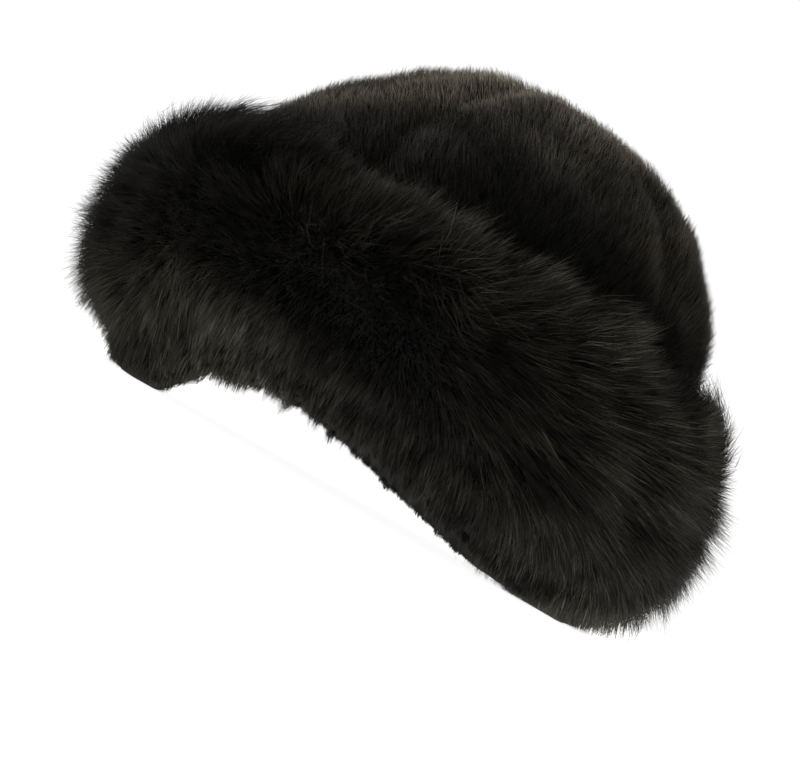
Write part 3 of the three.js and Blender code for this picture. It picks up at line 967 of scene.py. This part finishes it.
def cuff_weight(angle, along):
    """One, plus a share along the hanging edge, less one down beside the crown, where no hair shows."""
    return 1 + 0.7 * (1 - smooth(along, 0.12, 0.24)) - 0.6 * smooth(along, 0.95, 1.0) + 0 * angle


def cuff_root(angle, along):
    """Where a strand starts: on the flat sole, then up its edge, then on the skin of the roll."""
    out = CROWN["bottom_out"] + 1 + SOLE["width"] * np.clip(along / SOLE_SHARE, 0, 1)
    sole = around_opening(angle, out, arch_lift(angle))
    start_of_roll = cuff_skin(angle, np.full_like(along, ROLL_FROM))
    edge = mix(sole, start_of_roll, np.clip((along - SOLE_SHARE) / (ROLL_FROM - SOLE_SHARE), 0, 1)[:, None])
    return np.where((along < ROLL_FROM)[:, None], edge, cuff_skin(angle, along))


print("sole takes up to", SOLE_SHARE, "of the section")

# %% [markdown]
# Long guard hairs pass the fur's surface, and a shorter, thicker underfur stays below it. Both gather
# twice: loosely into broad locks, and within those into fine points. The hairs of a lock share a turn
# and a height too, which is what makes the outline ragged.

# %% Lie and height of the cuff's strands
GUARD = {"count": 88000, "width": 0.25, "gathers": 1, "hangs": 1, "bright": (1.3, 3.1)}
UNDER = {"count": 38000, "width": 0.7, "gathers": 0.4, "hangs": 0.4, "bright": (0.8, 0.8)}
LONG = {
    "sunk": 0.5, "jitter": 0.14, "drift": 0.32, "drift_size": 24, "shortest": 5, "longest": 42,
    "bend_at": 0.42, "start_lean": 0.35, "start_turn": 0.4, "end_lean": 1.3, "end_jitter": 1.3,
    "broad": 8, "broad_pull": 0.25, "broad_turn": 0.15, "broad_rise": 1.5, "loose": 0.12,
    "fine": 3.2, "fine_pull": 0.5, "fine_turn": 0.09, "fine_rise": 1.2, "stray": 1.35,
    "bumps": (2.6, 4.6), "bump_size": 16, "above": 0.3, "patch": 0.42, "patch_size": 13, "lock_patch": 0.32,
}


def strand_ways(angle, along, root, axes, broad, fine, rng):
    """Unit ways of a strand's two parts: outward, plus the combing, a drift, its locks' turns and jitter."""
    out, up, round_ = axes
    backward, upward, hanging = combing(angle, along)
    lean = backward * round_ * np.sign(np.sin(angle))[:, None] + upward * up + hanging * [[0, 0, -1]]
    turned = LONG["drift"] * drift(root, LONG["drift_size"], 41, 3)
    turned = turned + LONG["broad_turn"] * mood(broad, 47, 3) + LONG["fine_turn"] * mood(fine, 48, 3)
    crossing = LONG["jitter"] * (1 + WHORL["jitter"] * in_whorl(angle, along))
    jitter = crossing[:, None] * rng.normal(size=(2, len(angle), 3))
    start = unit(out + LONG["start_lean"] * lean + LONG["start_turn"] * turned + jitter[0])
    return start, unit(out + LONG["end_lean"] * lean + turned + LONG["end_jitter"] * jitter[1])


def strand_height(angle, depth, root, broad, fine, kind, rng):
    """Underfur: a share of the depth. Guard hair: the depth, plus bumps, its locks' share and strays."""
    if kind is UNDER:
        return depth * rng.uniform(0.6, 1.0, len(angle))
    bump = mix(*LONG["bumps"], smooth(from_front(angle), 95, 130))
    uneven = bump * (drift(root, LONG["bump_size"], 51) - 0.25)
    uneven = uneven + LONG["broad_rise"] * mood(broad, 49) + LONG["fine_rise"] * mood(fine, 44)
    return depth + LONG["above"] + uneven + LONG["stray"] * rng.exponential(size=len(angle)).clip(0, 4)


print("locks of", LONG["broad"], "and", LONG["fine"], "mm")

# %% [markdown]
# Along the sole the hairs gather instead into one row of hanging tufts, each longest in its middle. A
# hair that would hang lower is shortened towards its root. On the far side the fringe is shorter and
# looser, so that it doesn't fill the arch, and no hair goes into the table.

# %% The hanging fringe
FRINGE = {
    "depth": 3.0, "tuft": 5.5, "pull": 0.7, "far_slack": 0.7, "far_evenness": 0.8,
    "near": 4.2, "far": 2.4, "longer_at_back": 1.2, "tips_above": 0.4, "bends_above": 0.8,
}


def gathering(along, out, to_locks, to_tuft, far_side, kind, rng):
    """How far a tip is drawn along the surface: to its two locks, or near the sole to its tuft."""
    tuft_pull = FRINGE["pull"] * (1 - FRINGE["far_slack"] * far_side)[:, None]
    low_edge = (1 - smooth(along, 0.18, 0.3))[:, None]
    gather = along_surface(mix(to_locks, tuft_pull * to_tuft, low_edge), out)
    loose = rng.random((len(along), 1)) < LONG["loose"]
    return np.where(loose, 0.1, rng.uniform(0.5, 1, (len(along), 1))) * kind["gathers"] * gather


def lowest_tip(angle, far_side, to_tuft, tuft, kind, rng):
    """The sole's lift less a drop: the fringe's length, times the tuft's own, times its taper sideways."""
    taper = 1.45 - np.linalg.norm(to_tuft, axis=1) / (0.5 * FRINGE["tuft"])
    taper = mix(taper, rng.uniform(0.2, 1.1, len(angle)), FRINGE["far_evenness"] * far_side)
    own = 0.5 + 0.25 * rng.exponential(size=len(angle)).clip(0, 3) + 0.8 * np.abs(mood(tuft, 53))
    near = FRINGE["near"] * (1 + FRINGE["longer_at_back"] * smooth(from_front(angle), 90, 125))
    drop = mix(near, FRINGE["far"], far_side) * own * taper.clip(0.2, 1.4) * kind["hangs"]
    return np.maximum(arch_lift(angle) - drop, FRINGE["tips_above"])


def shortened(root, middle, tip, lowest):
    """Middle and tip moved towards the root by the share that keeps the tip above its lowest place."""
    kept = np.clip((root[:, 2] - lowest) / np.maximum(root[:, 2] - tip[:, 2], 1e-6), 0.2, 1)
    kept = np.where(tip[:, 2] < lowest, kept, 1)[:, None]
    middle, tip = mix(root, middle, kept), mix(root, tip, kept)
    middle[:, 2] = np.maximum(middle[:, 2], FRINGE["bends_above"])
    tip[:, 2] = np.maximum(tip[:, 2], FRINGE["tips_above"])
    return middle, tip


print("fringe of", FRINGE["near"], "mm, in tufts of", FRINGE["tuft"], "mm")

# %% [markdown]
# A strand's length is its height over the slant of its ways. The cuff's fur is cut into four pieces by
# quarters of a turn, so that no mesh is too heavy.

# %% The cuff's strands
def cuff_strands(kind, rng):
    """The angle of every strand of one kind, and its root, middle, tip, width and shade."""
    angle, along = plant(cuff_point, (0, 2 * np.pi), (0.0, 1), kind["count"], rng, cuff_weight)
    out, up, round_ = directions(cuff_point, angle, along, **ON_CUFF)
    skin = cuff_root(angle, along)
    depth = np.linalg.norm(cuff_point(angle, along) - skin, axis=1)
    depth = mix(FRINGE["depth"], depth, smooth(along, 0.02, 0.12))
    root = skin - LONG["sunk"] * out
    to_broad, broad = nearest_lock(root, LONG["broad"], 42)
    to_fine, fine = nearest_lock(root, LONG["fine"], 43)
    to_tuft, tuft = nearest_lock(around_opening(angle, SOLE["width"], 0.0), FRINGE["tuft"], 52)
    to_tuft = round_ * (to_tuft * round_).sum(axis=1, keepdims=True)
    start, way = strand_ways(angle, along, root, (out, up, round_), broad, fine, rng)
    height = strand_height(angle, depth, root, broad, fine, kind, rng)
    first, last = LONG["bend_at"], 1 - LONG["bend_at"]
    slant = np.maximum(first * (start * out).sum(axis=1) + last * (way * out).sum(axis=1), 0.2)
    length = np.clip((height + LONG["sunk"]) / slant, LONG["shortest"], LONG["longest"])[:, None]
    middle = root + start * first * length
    tip = middle + way * last * length
    far_side = smooth(-root[:, 0], 0, 60) * smooth(from_front(angle), 60, 100)
    to_locks = LONG["broad_pull"] * to_broad + LONG["fine_pull"] * to_fine
    gather = gathering(along, out, to_locks, to_tuft, far_side, kind, rng)
    lowest = lowest_tip(angle, far_side, to_tuft, tuft, kind, rng)
    middle, tip = shortened(root, middle + 0.3 * gather, tip + gather, lowest)
    width = kind["width"] * rng.uniform(0.7, 1.2, len(angle))
    patches = 1 + LONG["patch"] * drift(root, LONG["patch_size"], 45) + LONG["lock_patch"] * mood(fine, 46)
    brightest = mix(*kind["bright"], smooth(from_front(angle), 45, 85))
    # Shade: the cuff's painted light and shade, times a random tone, random patches and the whorl's painted
    # highlight.
    shade = cuff_painted_light(angle, along) * (0.4 + brightest * rng.random(len(angle))**4)
    shade = shade * patches.clip(0.3, 2.2) * (1 + WHORL["tone"] * in_whorl(angle, along))
    return angle, (root, middle, tip, width, shade)


rng = np.random.default_rng(5)
guard_angle, guard = cuff_strands(GUARD, rng)
under_angle, under = cuff_strands(UNDER, rng)
QUARTERS = [("front", -45), ("left", 45), ("back", 135), ("right", 225)]
for name, start in QUARTERS:
    long_ones = pick(guard, (np.degrees(guard_angle) - start) % 360 < 90)
    root, _, tip, width, shade = pick(under, (np.degrees(under_angle) - start) % 360 < 90)
    # The underfur's tips stop at 0.7 of the way to the tip colour, as painted shade, since they lie deep in
    # the fur.
    kinds = [bent_strands(*long_ones), straight_strands(root, tip, width, shade, tip_tone=0.7)]
    add_fur(f"cuff_{name}_fur", kinds, LONG_FUR, "cuff")
